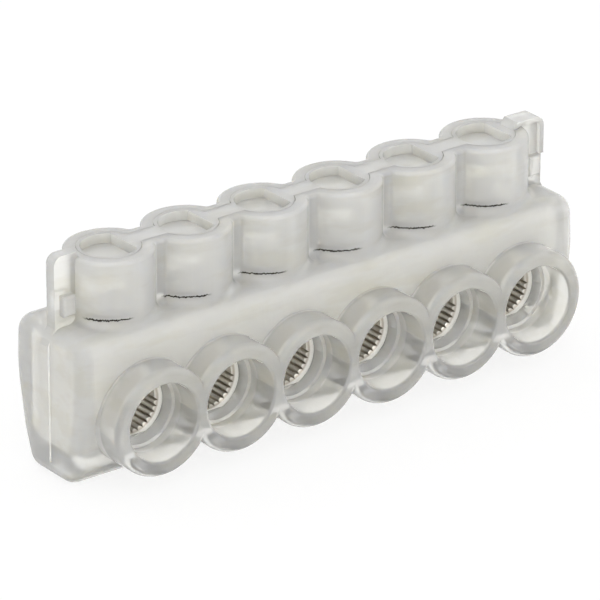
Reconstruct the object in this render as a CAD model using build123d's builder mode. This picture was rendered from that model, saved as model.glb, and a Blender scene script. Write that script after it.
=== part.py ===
from build123d import *
from math import radians, sqrt, tan
import os

# A six-port wire connector: a tin-plated aluminium bar with six wire bores and six set screws,
# inside a soft clear insulator with round wire collars in front and screw tubes on top.
# Lengths are in millimetres. X runs along the row, the wires enter from -Y and Z is up.
# The origin is on the surface that the connector stands on, under the middle of the bar.

# Row of ports
port_count = 6
port_pitch = 19.0
port_height = 14.5

# Connector bar
bar_depth = 16.0
bar_height = 24.0
bar_floor = 6.2
bar_overhang = 10.5
bar_edge_chamfer = 0.6
bar_foot_chamfer = 2.0
bore_radius = 5.8
bore_mouth_chamfer = 0.5
serration_depth = 0.5
serration_width = 0.75
serration_count = 15
serration_span = 168.0

# Set screws
screw_radius = 6.0
screw_length = 9.5
screw_point_radius = 4.0
screw_point_length = 2.2
screw_chamfer = 0.6
screw_clearance = 0.05
socket_flats = 5.5
socket_depth = 4.5
socket_cone = 1.2

# Insulator shell
shell_end_wall = 5.0
shell_top_wall = 2.4
shell_foot_depth = 14.0
shell_flank_depth = 19.6
shell_flank_height = 8.0
shell_belly_depth = 24.4
shell_belly_height = 21.0
shell_top_depth = 23.0
shell_foot_corner = 4.0
shell_flank_corner = 14.0
shell_belly_corner = 30.0
shell_top_corner = 4.2
shell_end_rounding = 3.4
bar_clearance = 0.1

# Screw tubes on top of the shell
tube_height = 14.0
tube_radius = 9.3
tube_bore_radius = 6.65
tube_rim_rounding = 0.8
tube_root_rounding = 1.8
web_depth = 8.6
web_corner = 0.9

# Wire collars in front of the shell
collar_reach = 18.6
collar_radius = 11.6
collar_mouth_radius = 8.3
collar_floor_radius = 8.2
collar_floor = 10.6
collar_rim_rounding = 1.3
collar_mouth_rounding = 0.6
funnel_radius = 7.4
funnel_clearance = 0.6

# End fins with their strap buttons
fin_depth = 2.7
fin_rise = 1.3
fin_gap_to_end = 1.4
fin_gap_to_bore = 1.15
fin_slope = 0.9
fin_corner = 2.0
rib_proud = 0.4
rib_foot_height = 4.0
button_width = 3.0
button_height = 4.4
button_reach = 3.0
button_drop = 9.2
button_gap_to_end = 1.2
button_rounding = 0.6

# Cap strip
cap_clearance = 0.1
cap_depth = 4.2
cap_recess = 2.1
cap_floor = 1.1
cap_wall = 0.75
cap_lead_in = 0.4
strap_width = 4.4
strap_thickness = 1.1
strap_clearance = 0.05
strap_block_start = 3.7
tail_rise_start = 6.2
tail_rise_run = 1.3

# Derived places
row_length = (port_count - 1) * port_pitch
port_places = [-row_length / 2 + index * port_pitch for index in range(port_count)]
bar_length = row_length + 2 * bar_overhang
bar_top = bar_floor + bar_height
bar_middle = bar_floor + bar_height / 2
shell_length = bar_length + 2 * (bar_clearance + shell_end_wall)
shell_top = bar_top + shell_top_wall
rim_height = shell_top + tube_height
bar_face = bar_depth / 2
fin_end = shell_length / 2 - fin_gap_to_end
fin_top = rim_height + fin_rise
fin_start = row_length / 2 + tube_bore_radius + fin_gap_to_bore
rib_end = shell_length / 2 + rib_proud
button_place = fin_end - button_width / 2 - button_gap_to_end
button_middle = rim_height - button_drop
screw_top = bar_top
thread_floor = port_height
cavity_face = bar_face + bar_clearance
cap_radius = tube_bore_radius - cap_clearance


def bore_section(radius):
    """The wire bore, with pointed grooves along its lower half."""
    first = -90 - serration_span / 2
    step = serration_span / (serration_count - 1)
    half = serration_width / 2
    inner = sqrt(radius**2 - half**2) - 0.05
    with BuildSketch(mode=Mode.PRIVATE) as section:
        Circle(radius)
        for index in range(serration_count):
            with Locations(Location((0, 0, 0), (0, 0, first + index * step))):
                Polygon(
                    (inner, -half),
                    (radius + serration_depth, 0),
                    (inner, half),
                    align=None,
                )
    return section.sketch


def bar_section(clearance):
    """The bar's outline seen from its end, grown by this clearance at the front, back and top."""
    with BuildSketch(mode=Mode.PRIVATE) as section:
        with Locations((0, bar_floor)):
            Rectangle(
                bar_depth + 2 * clearance,
                bar_height + clearance,
                align=(Align.CENTER, Align.MIN),
            )
        chamfer(section.vertices().group_by(Axis.Y)[0], bar_foot_chamfer)
    return section.sketch


# Connector bar: an extruded bar, bored through from the front and tapped from above.
with BuildPart() as connector_bar:
    with BuildSketch(Plane.YZ) as bar_outline:
        add(bar_section(0))
    extrude(amount=bar_length / 2, both=True)
    chamfer(connector_bar.faces().filter_by(Axis.X).edges(), bar_edge_chamfer)
    # The wire bores go right through; their lower halves are serrated to grip the strands.
    with BuildSketch(Plane.XZ) as bores:
        with Locations([(place, port_height) for place in port_places]):
            add(bore_section(bore_radius))
    extrude(amount=bar_depth / 2, both=True, mode=Mode.SUBTRACT)
    # The front mouth of each bore has a small lead-in.
    for place in port_places:
        mouth = Plane(origin=(place, -bar_face, port_height), z_dir=(0, 1, 0))
        with BuildSketch(mouth) as mouth_outer:
            Circle(bore_radius + bore_mouth_chamfer + serration_depth)
        with BuildSketch(mouth.offset(bore_mouth_chamfer + serration_depth)) as mouth_inner:
            Circle(bore_radius)
        loft(mode=Mode.SUBTRACT)
    # The tapped holes stop at the level of the wire bores' axis.
    with BuildSketch(Plane.XY.offset(bar_top)) as tapped:
        with Locations([(place, 0) for place in port_places]):
            Circle(screw_radius + screw_clearance)
    extrude(amount=-(bar_top - thread_floor), mode=Mode.SUBTRACT)
connector_bar.part.label = "connector_bar"


def set_screw(place):
    """A socket set screw with a dog point, its top level with the top of the bar."""
    thread_end = screw_top - screw_length + screw_point_length
    with BuildPart() as screw:
        with BuildSketch(Plane.XY.offset(thread_end)) as shank:
            with Locations((place, 0)):
                Circle(screw_radius)
        extrude(amount=screw_length - screw_point_length)
        chamfer(screw.edges().filter_by(GeomType.CIRCLE), screw_chamfer)
        with BuildSketch(Plane.XY.offset(thread_end)) as point:
            with Locations((place, 0)):
                Circle(screw_point_radius)
        extrude(amount=-screw_point_length)
        chamfer(screw.faces().sort_by(Axis.Z)[0].edges(), screw_chamfer)
        # The hexagon socket ends in the cone that its drill leaves.
        with BuildSketch(Plane.XY.offset(screw_top)) as socket:
            with Locations((place, 0)):
                RegularPolygon(socket_flats / 2, 6, major_radius=False)
        extrude(amount=-socket_depth, mode=Mode.SUBTRACT)
        with BuildSketch(Plane.XY.offset(screw_top - socket_depth)) as drill:
            with Locations((place, 0)):
                Circle(socket_flats / 2)
        extrude(amount=-socket_cone, taper=60, mode=Mode.SUBTRACT)
    return screw


screws = [set_screw(place) for place in port_places]
for number, screw in enumerate(screws, start=1):
    screw.part.label = f"set_screw_{number}"


def strap_tail(width):
    """The strap's last stretch seen from the front, as a band of this width.

    It rises from the last cap onto the fin and runs down the fin's outer edge to the button,
    let into the fin so that its outside is level with the fin on the left.
    """
    level = rim_height - strap_thickness / 2
    rise = row_length / 2 + tail_rise_start
    inset = strap_thickness / 2
    over_fin = fin_top - inset
    corner = (fin_end - fin_corner, fin_top - fin_corner)
    with BuildLine(mode=Mode.PRIVATE) as path:
        Polyline(
            (row_length / 2 + strap_block_start, level),
            (rise, level),
            (rise + tail_rise_run, over_fin),
            (corner[0], over_fin),
        )
        CenterArc(corner, fin_corner - inset, 90, -90)
        Line((fin_end - inset, corner[1]), (fin_end - inset, button_middle + button_height / 2))
    with BuildSketch(mode=Mode.PRIVATE) as band:
        trace(path.line, line_width=width)
    return band.sketch


def corner_rounding(wanted, corner, beside):
    """The wanted rounding of a corner, or less where the shorter side beside it has no room."""
    first, second = [Vector(*point) - Vector(*corner) for point in beside]
    room = 0.45 * min(first.length, second.length)
    return min(wanted, room * tan(radians(first.get_angle(second) / 2)))


# Insulator: one soft clear moulding round the bar.
with BuildPart() as insulator:
    # The shell has a narrow flat foot, bellied sides and a flat top.
    half_outline = [
        (shell_foot_depth / 2, 0),
        (shell_flank_depth / 2, shell_flank_height),
        (shell_belly_depth / 2, shell_belly_height),
        (shell_top_depth / 2, shell_top),
    ]
    outline = half_outline + [(-depth, height) for depth, height in reversed(half_outline)]
    corners = [shell_foot_corner, shell_flank_corner, shell_belly_corner, shell_top_corner]
    with BuildSketch(Plane.YZ) as section:
        with BuildLine():
            Polyline(*outline, close=True)
        make_face()
        # Each rounding adds levels above its own, so the belly comes first and the top last.
        for level, group in ((2, 2), (1, 1), (0, 0), (3, -1)):
            beside = outline[level - 1], outline[level + 1]
            rounding = corner_rounding(corners[level], outline[level], beside)
            fillet(section.vertices().group_by(Axis.Y)[group], rounding)
    extrude(amount=shell_length / 2, both=True)
    ends = insulator.faces().filter_by(Axis.X)
    fillet(ends.edges(), shell_end_rounding)

    # The six tubes stand in a row, joined by a web so that each waist is a rounded groove.
    with BuildSketch(Plane.XY.offset(bar_middle)) as tubes:
        with Locations([(place, 0) for place in port_places]):
            Circle(tube_radius)
        Rectangle(row_length, web_depth)
        waists = tubes.vertices().filter_by(lambda corner: abs(abs(corner.Y) - web_depth / 2) < 0.01)
        fillet(waists, web_corner)
    extrude(amount=rim_height - bar_middle)
    fillet(insulator.faces().sort_by(Axis.Z)[-1].edges(), tube_rim_rounding)
    walls = insulator.faces().filter_by(
        lambda face: shell_top < face.center().Z < rim_height - tube_rim_rounding
    )
    roots = walls.edges().filter_by(lambda edge: edge.center().Z < shell_top + 0.01)
    fillet(roots, tube_root_rounding)

    # A fin stands at each end and runs on as a low rib down the end of the shell.
    for side in (-1, 1):
        with BuildSketch(Plane.XZ) as fin:
            with BuildLine():
                Polyline(
                    (side * row_length / 2, rib_foot_height),
                    (side * rib_end, rib_foot_height),
                    (side * rib_end, shell_top - shell_end_rounding),
                    (side * fin_end, shell_top),
                    (side * fin_end, fin_top),
                    (side * (fin_start + fin_slope), fin_top),
                    (side * fin_start, rim_height - tube_rim_rounding),
                    (side * row_length / 2, rim_height - tube_rim_rounding),
                    close=True,
                )
            make_face()
            outer_top = fin.vertices().group_by(Axis.Y)[-1].sort_by(Axis.X)[-1 if side > 0 else 0]
            fillet(outer_top, fin_corner)
        extrude(amount=fin_depth / 2, both=True)

    # A rounded button on each side of each fin.
    with Locations([(side * button_place, 0, button_middle) for side in (-1, 1)]):
        Box(button_width, 2 * button_reach, button_height)
    upright = insulator.faces().filter_by(Axis.Y).filter_by(lambda face: abs(face.center().X) > fin_start)
    button_faces = upright.group_by(Axis.Y)
    fillet(button_faces[0].edges() + button_faces[-1].edges(), button_rounding)

    # The collars stand out in front, each wide enough to run into the next.
    with BuildSketch(Plane.XZ.offset(collar_reach)) as collars:
        with Locations([(place, port_height) for place in port_places]):
            Circle(collar_radius)
    extrude(amount=-(collar_reach - bar_face))
    fillet(insulator.faces().sort_by(Axis.Y)[0].edges(), collar_rim_rounding)

    # The bar stands on the floor of its cavity, with a little clearance at the sides and top.
    with BuildSketch(Plane.YZ) as cavity:
        add(bar_section(bar_clearance))
    extrude(amount=bar_length / 2 + bar_clearance, both=True, mode=Mode.SUBTRACT)

    # Each tube is bored down to its screw.
    with BuildSketch(Plane.XY.offset(rim_height)) as tube_bores:
        with Locations([(place, 0) for place in port_places]):
            Circle(tube_bore_radius)
    extrude(amount=-(rim_height - bar_top), mode=Mode.SUBTRACT)

    # Inside each collar is a cup whose floor has a funnel down to the bore.
    for place in port_places:
        mouth_edge = place + collar_mouth_radius
        mouth_start = collar_mouth_rounding - collar_reach
        with BuildSketch(Plane.XY.offset(port_height)) as cup:
            with BuildLine():
                Polyline(
                    (place, -cavity_face),
                    (place, -collar_reach),
                    (mouth_edge + collar_mouth_rounding, -collar_reach),
                )
                CenterArc((mouth_edge + collar_mouth_rounding, mouth_start), collar_mouth_rounding, 270, -90)
                Polyline(
                    (mouth_edge, mouth_start),
                    (place + collar_floor_radius, -collar_floor),
                    (place + funnel_radius, -collar_floor),
                    (place + bore_radius + serration_depth + funnel_clearance, -cavity_face),
                    (place, -cavity_face),
                )
            make_face()
        revolve(axis=Axis((place, 0, port_height), (0, 1, 0)), mode=Mode.SUBTRACT)

    # The strap of the caps lies in a groove across the rims and over the fin on the right.
    with BuildSketch(Plane.XY.offset(rim_height)) as strap_groove:
        Rectangle(row_length + 2 * strap_block_start, strap_width + 2 * strap_clearance)
    extrude(amount=-(strap_thickness + strap_clearance), mode=Mode.SUBTRACT)
    with BuildSketch(Plane.XZ) as tail_groove:
        add(strap_tail(strap_thickness + 2 * strap_clearance))
    extrude(amount=strap_width / 2 + strap_clearance, both=True, mode=Mode.SUBTRACT)
insulator.part.label = "insulator"


# Cap strip: six shallow plugs in one moulding with the strap that holds them.
with BuildPart() as cap_strip:
    with BuildSketch(Plane.XY.offset(rim_height - cap_depth)) as plugs:
        with Locations([(place, 0) for place in port_places]):
            Circle(cap_radius)
    extrude(amount=cap_depth)
    chamfer(cap_strip.faces().filter_by(Axis.Z).group_by(Axis.Z)[0].edges(), cap_lead_in)
    with BuildSketch(Plane.XY.offset(rim_height)) as strap:
        Rectangle(row_length, strap_width)
    extrude(amount=-strap_thickness)
    with BuildSketch(Plane.XZ) as tail:
        add(strap_tail(strap_thickness))
    extrude(amount=strap_width / 2, both=True)
    # Each plug is hollow above, all but the block on its right where the strap leaves it.
    with BuildSketch(Plane.XY.offset(rim_height)) as recesses:
        with Locations([(place, 0) for place in port_places]):
            Circle(cap_radius - cap_wall)
        with Locations([(place + strap_block_start, 0) for place in port_places]):
            Rectangle(cap_radius, 2 * cap_radius, align=(Align.MIN, Align.CENTER), mode=Mode.SUBTRACT)
    extrude(amount=-cap_recess, mode=Mode.SUBTRACT)
    # Below its floor each plug is a short skirt.
    with BuildSketch(Plane.XY.offset(rim_height - cap_depth)) as skirts:
        with Locations([(place, 0) for place in port_places]):
            Circle(cap_radius - cap_wall)
    extrude(amount=cap_depth - cap_recess - cap_floor, mode=Mode.SUBTRACT)
cap_strip.part.label = "cap_strip"

os.makedirs("parts", exist_ok=True)
export_step(connector_bar.part, "parts/connector_bar.step")
export_step(insulator.part, "parts/insulator.step")
export_step(cap_strip.part, "parts/cap_strip.step")
for screw in screws:
    export_step(screw.part, f"parts/{screw.part.label}.step")
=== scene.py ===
import math

import bpy
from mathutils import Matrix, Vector


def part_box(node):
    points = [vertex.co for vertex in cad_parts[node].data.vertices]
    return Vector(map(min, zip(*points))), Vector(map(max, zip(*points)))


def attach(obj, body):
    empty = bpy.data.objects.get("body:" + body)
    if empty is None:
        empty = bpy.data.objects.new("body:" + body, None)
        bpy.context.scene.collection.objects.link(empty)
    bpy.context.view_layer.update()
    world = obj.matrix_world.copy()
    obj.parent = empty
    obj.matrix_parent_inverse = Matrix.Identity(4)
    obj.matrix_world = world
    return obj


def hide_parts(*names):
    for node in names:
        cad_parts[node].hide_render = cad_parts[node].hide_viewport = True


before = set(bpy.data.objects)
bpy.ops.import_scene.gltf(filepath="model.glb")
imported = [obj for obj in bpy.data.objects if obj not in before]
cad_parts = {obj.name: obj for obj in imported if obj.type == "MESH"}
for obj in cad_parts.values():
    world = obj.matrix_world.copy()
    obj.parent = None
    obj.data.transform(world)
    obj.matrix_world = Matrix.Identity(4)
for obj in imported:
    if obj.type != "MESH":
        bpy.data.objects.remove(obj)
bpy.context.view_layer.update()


# Camera. A long lens from the front left and above, as a catalogue picture of a small part
# is taken, so that the row of ports keeps its size from one end to the other.
view_azimuth = math.radians(37.08)
view_elevation = math.radians(24.16)
view_distance = 1.277
view_target = Vector((0, 0, 0.0218))
towards_camera = Vector((
    -math.sin(view_azimuth) * math.cos(view_elevation),
    -math.cos(view_azimuth) * math.cos(view_elevation),
    math.sin(view_elevation),
))
camera = bpy.data.objects.new("camera", bpy.data.cameras.new("camera"))
bpy.context.scene.collection.objects.link(camera)
camera.data.sensor_width = 36
camera.data.lens = 376
camera.data.clip_end = 20
camera.location = view_target + view_distance * towards_camera
camera.rotation_euler = towards_camera.to_track_quat("Z", "Y").to_euler()
bpy.context.scene.camera = camera
bpy.context.scene.view_settings.view_transform = "Standard"


# Connector bar. An extruded aluminium bar with a dull tin plating, bored and tapped after it
# was cut to length, so it shows faint lines along its length and turning marks in its holes.
port_pitch = 0.019
port_height = 0.0145

# Where one look fades into the next: by the distance from a bore's axis, by y, and by z.
bore_fade = (0.0062, 0.0066)
groove_fade = (0.0057, 0.0063)
rim_fade = (0.0059, 0.0061)
mouth_fade = (-0.0077, -0.0074)
tapped_fade = (port_height + 0.0066, port_height + 0.0072)


class Signal:
    """One value in a material. Arithmetic on it adds Math nodes, and node() adds any other node."""

    def __init__(self, socket):
        self.socket = socket

    def node(self, kind, settings, inputs, output=0):
        """Adds a node, with links or values for its inputs, and gives one of its outputs."""
        tree = self.socket.id_data
        added = tree.nodes.new(kind)
        for name, value in settings.items():
            setattr(added, name, value)
        for name, value in inputs.items():
            if isinstance(value, Signal):
                tree.links.new(value.socket, added.inputs[name])
            else:
                added.inputs[name].default_value = value
        return Signal(added.outputs[output])

    def maths(self, operation, first, second=0.0):
        return self.node("ShaderNodeMath", {"operation": operation}, {0: first, 1: second})

    def __add__(self, other):
        return self.maths("ADD", self, other)

    def __radd__(self, other):
        return self.maths("ADD", other, self)

    def __sub__(self, other):
        return self.maths("SUBTRACT", self, other)

    def __rsub__(self, other):
        return self.maths("SUBTRACT", other, self)

    def __mul__(self, other):
        return self.maths("MULTIPLY", self, other)

    def __rmul__(self, other):
        return self.maths("MULTIPLY", other, self)

    def __abs__(self):
        return self.maths("ABSOLUTE", self)

    def noise(self, scale, detail=2.0):
        """Cloudy noise over this vector, from 0 to 1."""
        inputs = {"Vector": self, "Scale": scale, "Detail": detail}
        return self.node("ShaderNodeTexNoise", {}, inputs)

    def stretched(self, x, y, z):
        """This vector with each axis scaled, so that a pattern on it is drawn out."""
        return self.node("ShaderNodeVectorMath", {"operation": "MULTIPLY"}, {0: self, 1: (x, y, z)})

    def axis(self, index):
        """One coordinate of this vector."""
        return self.node("ShaderNodeSeparateXYZ", {}, {0: self}, index)

    def from_port(self):
        """How far along the row this place is from the middle of its own port."""
        half = port_pitch / 2
        inputs = {0: self.axis(0) - half, 1: half, 2: -half}
        return self.node("ShaderNodeMath", {"operation": "WRAP"}, inputs)

    def ramp(self, low, high, first=0.0, last=1.0):
        """A smooth step from first to last, while this value goes from low to high."""
        inputs = {"Value": self, "From Min": low, "From Max": high, "To Min": first, "To Max": last}
        return self.node("ShaderNodeMapRange", {"interpolation_type": "SMOOTHSTEP"}, inputs)

    def blend(self, first, second):
        """A colour between two others, with this value as the share of the second."""
        inputs = {"Factor": self, 6: first, 7: second}
        return self.node("ShaderNodeMix", {"data_type": "RGBA"}, inputs, 2)

    def mix(self, first, second):
        """A shader between two others, with this value as the share of the second."""
        return self.node("ShaderNodeMixShader", {}, {0: self, 1: first, 2: second})

    def bumps(self, distance, strength):
        """The surface normal with this value as the height of fine relief."""
        inputs = {"Height": self, "Distance": distance, "Strength": strength}
        return self.node("ShaderNodeBump", {}, inputs)


def new_finish(name, settings):
    """A material, its main shader, and the places on the part that its patterns follow."""
    material = bpy.data.materials.new(name)
    material.use_nodes = True
    shader = material.node_tree.nodes["Principled BSDF"]
    for socket, value in settings.items():
        shader.inputs[socket].default_value = value
    places = material.node_tree.nodes.new("ShaderNodeTexCoord").outputs["Object"]
    return material, shader, Signal(places)


def feed(material, shader, **signals):
    """Leads signals to a shader's sockets, named with _ for a space."""
    for name, signal in signals.items():
        material.node_tree.links.new(signal.socket, shader.inputs[name.replace("_", " ")])


def dress(node_name, material):
    """Gives a piece that keeps its shape its finish."""
    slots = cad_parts[node_name].data.materials
    slots.clear()
    slots.append(material)


plated, plated_shader, place = new_finish("tin_plated_aluminium", {"Metallic": 1.0})
drawn_lines = place.stretched(0.02, 1.0, 1.0).noise(2600.0, 3.0)
clouds = place.noise(180.0, 3.0)
turned_lines = place.stretched(0.3, 0.04, 0.3).noise(5200.0, 2.0)

# The bores are told from the outside of the bar by the distance from their own axis.
spoke = place.node("ShaderNodeCombineXYZ", {}, {0: place.from_port(), 2: place.axis(2) - port_height})
bore_distance = spoke.node("ShaderNodeVectorMath", {"operation": "LENGTH"}, {0: spoke}, 1)
in_bore = bore_distance.ramp(*bore_fade, 1.0, 0.0)
groove_bottom = bore_distance.ramp(*groove_fade)

# Above the bores the tapped holes have relief in bands, for their thread.
bands = place.node(
    "ShaderNodeTexWave",
    {"wave_type": "BANDS", "bands_direction": "Z", "wave_profile": "TRI"},
    {"Vector": place, "Scale": 62.0, "Distortion": 0.0},
    1,
)
above_bore = place.axis(2).ramp(*tapped_fade)

# The plating is dull outside; in the bores the ridges are painted lighter, as painted light in the
# shaded bores, and the grooves between them darker, as painted shade; a rim of pale vinyl flash
# covers each bore's mouth.
dull_plating = (clouds * 0.6 + drawn_lines * 0.4).ramp(0.3, 0.75)
plating = dull_plating.blend((0.80, 0.78, 0.74, 1), (0.93, 0.92, 0.89, 1))
# Painted light on the bores' ridges, then painted shade in the grooves between them.
painted_lit_ridges = (in_bore * (1 - groove_bottom)).blend(plating, (0.97, 0.95, 0.90, 1))
painted_groove_shade = (in_bore * groove_bottom * 0.9).blend(painted_lit_ridges, (0.46, 0.41, 0.34, 1))
flash = place.axis(1).ramp(*mouth_fade, 1.0, 0.0) * bore_distance.ramp(*rim_fade)
relief = drawn_lines * (1 - in_bore) * 0.4 + turned_lines * in_bore * 0.5 + bands * above_bore
feed(
    plated,
    plated_shader,
    Base_Color=flash.blend(painted_groove_shade, (0.93, 0.92, 0.88, 1)),
    Metallic=1 - flash,
    Roughness=clouds.ramp(0.25, 0.8, 0.30, 0.46),
    Normal=relief.bumps(0.00012, 0.6),
)
dress("connector_bar", plated)


# Set screws. Plated aluminium, one in each tapped hole above its wire bore, each with a rolled
# thread on its shank and a hexagon socket; they are turned down on the wire by hand.
screw_count = 6
crest_radius = 0.00595
root_radius = 0.0054
thread_pitch = 0.00127
thread_turns = 4.6
thread_end_below_top = 0.0007
screw_finish, screw_shader, place = new_finish("plated_screw", {"Metallic": 1.0})
wear = place.noise(700.0, 3.0)
turning_marks = place.stretched(1.0, 1.0, 0.1).noise(1800.0)
feed(
    screw_finish,
    screw_shader,
    Base_Color=wear.ramp(0.3, 0.8).blend((0.42, 0.40, 0.37, 1), (0.66, 0.63, 0.59, 1)),
    Roughness=wear.ramp(0.2, 0.8, 0.32, 0.5),
    Normal=turning_marks.bumps(0.00004, 0.5),
)

threading = bpy.data.node_groups.new("thread_on_screw", "GeometryNodeTree")
threading.interface.new_socket("Screw", in_out="INPUT", socket_type="NodeSocketGeometry")
thread_sizes = {
    "Crest radius": crest_radius,
    "Root radius": root_radius,
    "Pitch": thread_pitch,
    "Turns": thread_turns,
    "Lowest": 0.0,
    "Axis x": 0.0,
}
for size_name in thread_sizes:
    threading.interface.new_socket(size_name, in_out="INPUT", socket_type="NodeSocketFloat")
threading.interface.new_socket("Screw", in_out="OUTPUT", socket_type="NodeSocketGeometry")


def step(kind, settings, inputs, output=0):
    """Adds one node to the thread's tree and gives one of its outputs."""
    added = threading.nodes.new(kind)
    for name, value in settings.items():
        setattr(added, name, value)
    for name, value in inputs.items():
        if isinstance(value, bpy.types.NodeSocket):
            threading.links.new(value, added.inputs[name])
        else:
            added.inputs[name].default_value = value
    return added.outputs[output]


def maths_step(operation, first, second):
    return step("ShaderNodeMath", {"operation": operation}, {0: first, 1: second})


# The shank is turned down to the root of the thread.
group_input = threading.nodes.new("NodeGroupInput").outputs
root = group_input["Root radius"]
vertex = step("GeometryNodeInputPosition", {}, {})
vertex_axes = step("ShaderNodeSeparateXYZ", {}, {0: vertex}).node.outputs
across = maths_step("SUBTRACT", vertex_axes[0], group_input["Axis x"])
outwards = step("ShaderNodeCombineXYZ", {}, {0: across, 1: vertex_axes[1]})
reach = step("ShaderNodeVectorMath", {"operation": "LENGTH"}, {0: outwards}, 1)
shrink = maths_step("SUBTRACT", maths_step("DIVIDE", root, reach), 1.0)
shift = step("ShaderNodeVectorMath", {"operation": "SCALE"}, {0: outwards, "Scale": shrink})
outside = step("FunctionNodeCompare", {"operation": "GREATER_THAN"}, {0: reach, 1: root})
core = step(
    "GeometryNodeSetPosition",
    {},
    {"Geometry": group_input["Screw"], "Selection": outside, "Offset": shift},
)

# The ridge is a small square profile on its corner, swept along a helix round the shank.
helix = step(
    "GeometryNodeCurveSpiral",
    {},
    {
        "Resolution": 40,
        "Rotations": group_input["Turns"],
        "Start Radius": root,
        "End Radius": root,
        "Height": maths_step("MULTIPLY", group_input["Pitch"], group_input["Turns"]),
    },
)
ridge_height = maths_step("SUBTRACT", group_input["Crest radius"], root)
profile = step("GeometryNodeCurvePrimitiveCircle", {}, {"Resolution": 4, "Radius": ridge_height})
ridge = step(
    "GeometryNodeCurveToMesh",
    {},
    {"Curve": helix, "Profile Curve": profile, "Fill Caps": True},
)
foot = step("ShaderNodeCombineXYZ", {}, {0: group_input["Axis x"], 2: group_input["Lowest"]})
ridge = step("GeometryNodeTransform", {}, {"Geometry": ridge, "Translation": foot})
joined = threading.nodes.new("GeometryNodeJoinGeometry")
for piece in (core, ridge):
    threading.links.new(piece, joined.inputs[0])
real = step("GeometryNodeRealizeInstances", {}, {0: joined.outputs[0]})
dressed = step("GeometryNodeSetMaterial", {}, {"Geometry": real, "Material": screw_finish})
threading.links.new(dressed, threading.nodes.new("NodeGroupOutput").inputs[0])

for number in range(1, screw_count + 1):
    node_name = f"set_screw_{number}"
    screw_low, screw_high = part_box(node_name)
    screw_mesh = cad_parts[node_name].data.copy()
    screw = bpy.data.objects.new(f"threaded_set_screw_{number}", screw_mesh)
    bpy.context.scene.collection.objects.link(screw)
    merge = screw.modifiers.new("merge", "WELD")
    merge.merge_threshold = 0.000002
    cut = screw.modifiers.new("thread", "NODES")
    cut.node_group = threading
    thread_sizes["Lowest"] = screw_high.z - thread_end_below_top - thread_pitch * thread_turns
    thread_sizes["Axis x"] = (screw_low.x + screw_high.x) / 2
    for item in threading.interface.items_tree:
        if item.name in thread_sizes:
            cut[item.identifier] = thread_sizes[item.name]
    bpy.context.view_layer.update()
    evaluated = screw.evaluated_get(bpy.context.evaluated_depsgraph_get())
    screw.data = bpy.data.meshes.new_from_object(evaluated)
    screw.modifiers.clear()
    screw.data.shade_smooth()
    screw.data.set_sharp_from_angle(angle=math.radians(30))
    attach(screw, f"screw_{number}")
    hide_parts(node_name)


# Insulator. One soft moulding in clear vinyl that holds the bar. The vinyl is milky, its walls
# are a little uneven, and a thin line of painted shade at the front of each tube stands in for
# the dark gap at the bar's thread.
shell_front_fade = (-0.0130, -0.0122)
front_clearer = 0.15
front_smoother = 0.08
shade_line_height = 0.0343
shade_line_bearing = math.radians(37)
shade_line_jag_height = 0.0008
shade_line_half_thickness_fade = (0.00010, 0.00022)
shade_line_half_length_fade = (0.0036, 0.0054)
tube_front_fade = (0.0050, 0.0055)
vinyl_body = {
    "IOR": 1.42,
    "Subsurface Weight": 1.0,
    "Subsurface Radius": (1.0, 0.97, 0.9),
}


def clear_vinyl(name, clearness):
    """Milky clear vinyl: this share of the light goes through, the rest is scattered inside."""
    milky = {"Transmission Weight": clearness, "Subsurface Scale": 0.003, **vinyl_body}
    material, shader, place = new_finish(name, milky)
    waves = place.noise(110.0, 2.0)
    haze = place.noise(320.0, 3.0)
    flow_lines = place.stretched(1.0, 1.0, 0.08).noise(900.0, 2.0)
    flow_marks = place.stretched(0.45, 1.0, 1.7).noise(150.0, 3.0).ramp(0.46, 0.68)
    unevenness = (waves * 0.6 + haze * 0.4).ramp(0.3, 0.7)
    pale = unevenness.blend((0.995, 0.985, 0.925, 1), (1.0, 0.995, 0.95, 1))
    tint = flow_marks.blend(pale, (0.93, 0.91, 0.845, 1))
    frost = (haze * 0.6 + flow_lines * 0.4).ramp(0.3, 0.7, 0.17, 0.27)
    relief = (waves * 0.7 + flow_lines * 0.12 + haze * 0.1).bumps(0.0006, 0.35)
    feed(material, shader, Base_Color=tint, Roughness=frost, Normal=relief)
    # In front of the shell the moulding is thin and its mould was polished, so it is clearer.
    polished = place.node("ShaderNodeBsdfPrincipled", {}, {
        "Base Color": tint,
        "Roughness": frost - front_smoother,
        "Normal": relief,
        "Transmission Weight": clearness + front_clearer,
        "Subsurface Scale": 0.005,
        **vinyl_body,
    })
    in_front = place.axis(1).ramp(*shell_front_fade, 1.0, 0.0)
    return material, in_front.mix(Signal(shader.outputs[0]), polished), place


def show(material, surface):
    """Leads a mixed shader to the material's surface."""
    output = material.node_tree.nodes["Material Output"]
    material.node_tree.links.new(surface.socket, output.inputs["Surface"])


vinyl, vinyl_surface, place = clear_vinyl("milky_clear_vinyl", clearness=0.64)

# Each painted shade line is centred on the side of its tube at the bearing set above, and its edge is
# ragged.
along = place.from_port()
depth = place.axis(1)
sideways = along * math.cos(shade_line_bearing) - depth * math.sin(shade_line_bearing)
forwards = -1 * (along * math.sin(shade_line_bearing) + depth * math.cos(shade_line_bearing))
shade_line_jags = place.stretched(1.0, 1.0, 0.4).noise(2600.0, 3.0) * shade_line_jag_height
shade_line_level = place.axis(2) - shade_line_height + (shade_line_jags - shade_line_jag_height / 2)
shade_line_band = abs(shade_line_level).ramp(*shade_line_half_thickness_fade, 1.0, 0.0)
shade_line_ends = abs(sideways).ramp(*shade_line_half_length_fade, 1.0, 0.0)
# The painted shade: a near-black diffuse mixed into the vinyl where this mask is high.
painted_shade_line = shade_line_band * shade_line_ends * forwards.ramp(*tube_front_fade)
painted_shade = Signal(vinyl.node_tree.nodes.new("ShaderNodeBsdfDiffuse").outputs[0])
painted_shade.socket.node.inputs["Color"].default_value = (0.02, 0.017, 0.013, 1)
show(vinyl, painted_shade_line.mix(vinyl_surface, painted_shade))
dress("insulator", vinyl)


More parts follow.
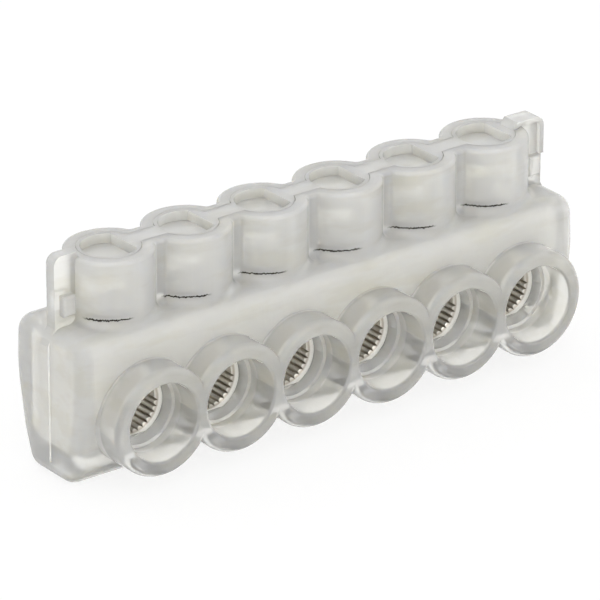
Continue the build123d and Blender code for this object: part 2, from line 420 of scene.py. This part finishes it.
# Cap strip. A separate soft moulding in the same vinyl, pressed by hand into the six tubes
# and held by the friction of its plugs; its strap lies across the rims and over the right fin.
cap_vinyl, cap_surface = clear_vinyl("cap_strip_vinyl", clearness=0.6)[:2]
show(cap_vinyl, cap_surface)
dress("cap_strip", cap_vinyl)


# Floor. A plain pale sheet under the part, 6 m wide; the camera sees it white but for the
# soft shadow, and so do reflections and what shows through the vinyl.
half_floor = 3.0
sheet_glow = 0.85
floor_mesh = bpy.data.meshes.new("floor")
floor_corners = [(-1, -1), (1, -1), (1, 1), (-1, 1)]
floor_points = [(half_floor * x, half_floor * y, 0) for x, y in floor_corners]
floor_mesh.from_pydata(floor_points, [], [(0, 1, 2, 3)])
floor = bpy.data.objects.new("floor", floor_mesh)
bpy.context.scene.collection.objects.link(floor)
sheet_settings = {"Base Color": (0.88, 0.88, 0.87, 1), "Roughness": 0.9}
paper, paper_shader = new_finish("white_paper", sheet_settings)[:2]
rays = paper.node_tree.nodes.new("ShaderNodeLightPath").outputs
seen = Signal(rays["Is Camera Ray"]) + Signal(rays["Is Glossy Ray"])
seen = seen + Signal(rays["Is Transmission Ray"])
glow = Signal(paper.node_tree.nodes.new("ShaderNodeEmission").outputs[0])
show(paper, seen.ramp(0.0, 1.0, 0.0, sheet_glow).mix(Signal(paper_shader.outputs[0]), glow))
floor.data.materials.append(paper)


# Light. An even white surround, as in a light tent, with one soft lamp from the front left
# above, a weaker one from the right and one from behind for the edges.
world = bpy.data.worlds.new("light_tent")
bpy.context.scene.world = world
world.use_nodes = True
tent_strength = 1.05
tent = world.node_tree.nodes["Background"].inputs
tent["Color"].default_value = (1, 1, 1, 1)
tent["Strength"].default_value = tent_strength

# Each lamp's place and size in metres, and its watts.
lamps = {
    "front_left": ((-0.35, -0.6, 0.9), 0.5, 2.0),
    "right": ((0.8, -0.5, 0.4), 0.5, 0.8),
    "behind": ((0.0, 0.5, 0.8), 0.6, 1.0),
}
for lamp_name, (lamp_place, lamp_size, watts) in lamps.items():
    lamp = bpy.data.objects.new(lamp_name, bpy.data.lights.new(lamp_name, "AREA"))
    bpy.context.scene.collection.objects.link(lamp)
    lamp.data.size = lamp_size
    lamp.data.energy = watts
    lamp.location = lamp_place
    lamp.rotation_euler = (Vector(lamp_place) - view_target).to_track_quat("Z", "Y").to_euler()
